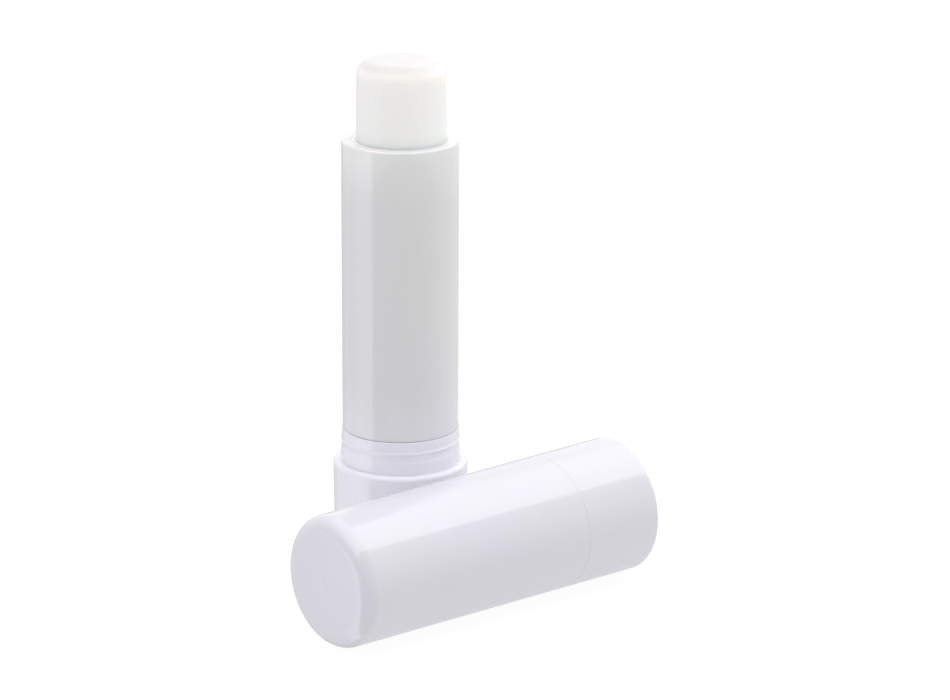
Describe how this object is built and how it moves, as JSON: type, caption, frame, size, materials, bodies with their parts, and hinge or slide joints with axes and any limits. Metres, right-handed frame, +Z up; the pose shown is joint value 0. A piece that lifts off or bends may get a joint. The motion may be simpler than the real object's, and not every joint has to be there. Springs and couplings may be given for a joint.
{
  "type": "lip balm stick",
  "caption": "Twist-up lip balm stick, standing open with the balm raised by its lead screw, and its round-ended cap lying beside it.",
  "frame": {"origin": "on the axis of the stick, at the plane that the base stands on", "axes": "+Z up along the axis of the stick; +X along the lying cap, from its closed end to its mouth; the cap lies on the -Y side of the stick"},
  "size_m": [0.0529, 0.0399, 0.0748],
  "materials": {
    "base": "gloss moulded polypropylene",
    "collar": "gloss moulded polypropylene",
    "tube": "gloss moulded polypropylene, slightly translucent",
    "cap": "gloss moulded polypropylene, slightly translucent",
    "mechanism": "natural white moulded plastic",
    "balm": "satin cream wax"
  },
  "bodies": {
    "base": {"base": "base", "collar": "collar", "spindle": "mechanism"},
    "tube": {"tube": "tube"},
    "carrier": {"elevator": "mechanism", "balm": "balm"},
    "cap": {"cap": "cap"}
  },
  "joints": [
    {"name": "tube_twist", "type": "hinge", "parent": "base", "child": "tube", "pos_m": [0, 0, 0.02], "axis": [0, 0, 1], "range_deg": [-1008, 2000]},
    {"name": "balm_rise", "type": "slide", "parent": "tube", "child": "carrier", "axis": [0, 0, 1], "range_m": [-0.01261, 0.02501]},
    {"name": "cap_lift", "type": "slide", "parent": "base", "child": "cap", "axis": [0, 0, 1], "range_m": [0, 0.1]}
  ],
  "couplings": [
    {"joint": "balm_rise", "follows": "tube_twist", "m_per_rad": 0.0007162}
  ]
}
